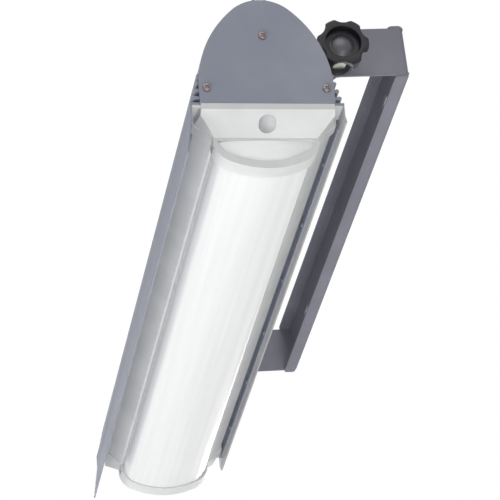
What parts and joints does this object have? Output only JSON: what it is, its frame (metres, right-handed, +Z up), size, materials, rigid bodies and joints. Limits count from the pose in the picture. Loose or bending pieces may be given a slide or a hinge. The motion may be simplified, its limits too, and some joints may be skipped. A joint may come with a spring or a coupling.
{
  "type": "outdoor wall light",
  "caption": "Long finned linear outdoor wall light with opal diffuser, side visors and a tilting folded wall bracket with clamp knobs.",
  "frame": {"origin": "middle of the wall bracket's back face, on the wall plane", "axes": "+X into the wall, +Y along the lamp towards the end with the cable gland, +Z up"},
  "size_m": [0.2543, 0.9418, 0.1904],
  "materials": {
    "bracket_paint": "fine-textured powder coat on folded sheet steel",
    "housing_paint": "grey-blue powder coat on extruded and sheet aluminium",
    "lug_paint": "powder-coated cast lug",
    "knob_plastic": "fine-grained moulded thermoplastic",
    "gland_plastic": "moulded polyamide",
    "washer_plastic": "moulded friction washer",
    "seal_rubber": "soft moulded rubber",
    "zinc_steel": "bright zinc plating on steel",
    "screw_steel": "stainless cross-recessed screws",
    "tray_plastic": "light grey moulded polycarbonate",
    "opal_acrylic": "opal acrylic, glossy outside",
    "gear_steel": "white-coated sheet steel",
    "driver_plastic": "moulded housing",
    "terminal_plastic": "moulded polyamide",
    "board_laminate": "white solder mask on laminate",
    "emitter_resin": "phosphor resin"
  },
  "bodies": {
    "bracket": {"wall_bracket": "bracket_paint", "near_outer_washer": "washer_plastic", "far_outer_washer": "washer_plastic"},
    "near_knob": {"near_knob": "knob_plastic", "near_hex_spacer": "zinc_steel", "near_clamp_stud": "zinc_steel"},
    "far_knob": {"far_knob": "knob_plastic", "far_hex_spacer": "zinc_steel", "far_clamp_stud": "zinc_steel"},
    "head": {"housing_extrusion": "housing_paint", "near_end_plate": "housing_paint", "far_end_plate": "housing_paint", "front_visor": "housing_paint", "rear_visor": "housing_paint", "front_visor_rivets": "housing_paint", "rear_visor_rivets": "housing_paint", "near_pivot_lug": "lug_paint", "far_pivot_lug": "lug_paint", "cable_gland": "gland_plastic", "gland_nut": "gland_plastic", "gland_locknut": "gland_plastic", "near_inner_washer": "washer_plastic", "far_inner_washer": "washer_plastic", "near_end_gasket": "seal_rubber", "far_end_gasket": "seal_rubber", "tray_gasket": "seal_rubber", "gland_seal": "seal_rubber", "near_lug_screws": "zinc_steel", "far_lug_screws": "zinc_steel", "near_slide_nut": "zinc_steel", "far_slide_nut": "zinc_steel", "tray_screws": "zinc_steel", "driver_screws": "zinc_steel", "board_screws": "zinc_steel", "near_plate_screws": "screw_steel", "far_plate_screws": "screw_steel", "tray": "tray_plastic", "near_end_cap": "tray_plastic", "far_end_cap": "tray_plastic", "diffuser": "opal_acrylic", "near_diffuser_end": "opal_acrylic", "far_diffuser_end": "opal_acrylic", "gear_plate": "gear_steel", "led_driver": "driver_plastic", "terminal_block": "terminal_plastic", "near_led_board": "board_laminate", "far_led_board": "board_laminate", "near_emitters": "emitter_resin", "far_emitters": "emitter_resin"}
  },
  "joints": [
    {"name": "head_tilt", "type": "hinge", "parent": "bracket", "child": "head", "pos_m": [-0.0745, 0, -0.0106], "axis": [0, 1, 0], "range_deg": [-45, 75]},
    {"name": "near_knob_turn", "type": "hinge", "parent": "head", "child": "near_knob", "pos_m": [-0.0745, -0.39, -0.0106], "axis": [0, -1, 0], "range_deg": [0, 360]},
    {"name": "far_knob_turn", "type": "hinge", "parent": "head", "child": "far_knob", "pos_m": [-0.0745, 0.39, -0.0106], "axis": [0, 1, 0], "range_deg": [0, 360]}
  ]
}
